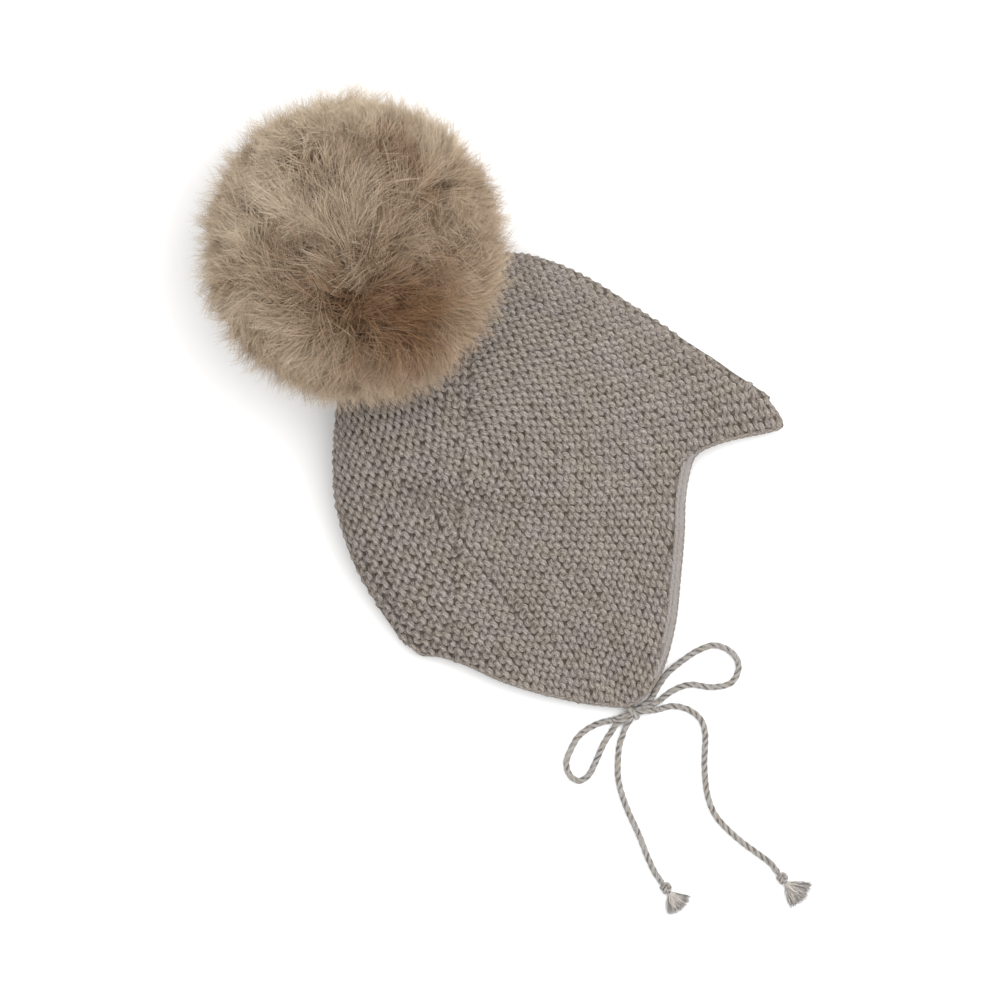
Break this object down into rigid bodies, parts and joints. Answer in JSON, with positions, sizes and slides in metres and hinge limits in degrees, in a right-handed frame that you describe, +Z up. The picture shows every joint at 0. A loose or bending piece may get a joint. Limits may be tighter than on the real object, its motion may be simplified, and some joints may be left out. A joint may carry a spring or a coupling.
{
  "type": "knit helmet hat",
  "caption": "Child's knitted helmet hat with a forehead peak, ear flaps, a large fur pompom on the crown and chin ties tied in a bow, lying on its side",
  "frame": {"origin": "centre of the bounding box of hood and pompom, at floor level, without the ties", "axes": "+Z up from the floor, +X towards the forehead peak, +Y towards the crown; the hat lies on its side on the floor"},
  "size_m": [0.2695, 0.3598, 0.1345],
  "materials": {
    "knit": "greige heather wool in garter stitch, matt, slightly fuzzy",
    "fur": "long soft fur, beige tips over brown roots",
    "tie": "twisted wool cord, light grey-beige with darker brown flecks",
    "fray": "frayed ends of the tie's own yarn, pale and soft"
  },
  "bodies": {
    "root": {"knit_shell": "knit", "pompom": "fur", "bow_knot": "tie", "bow_loop_right": "tie", "bow_loop_left": "tie", "tie_tail_left": "tie", "tie_tail_right": "tie", "end_knot_left": "tie", "end_knot_right": "tie", "tassel_left": "fray", "tassel_right": "fray"}
  },
  "joints": []
}
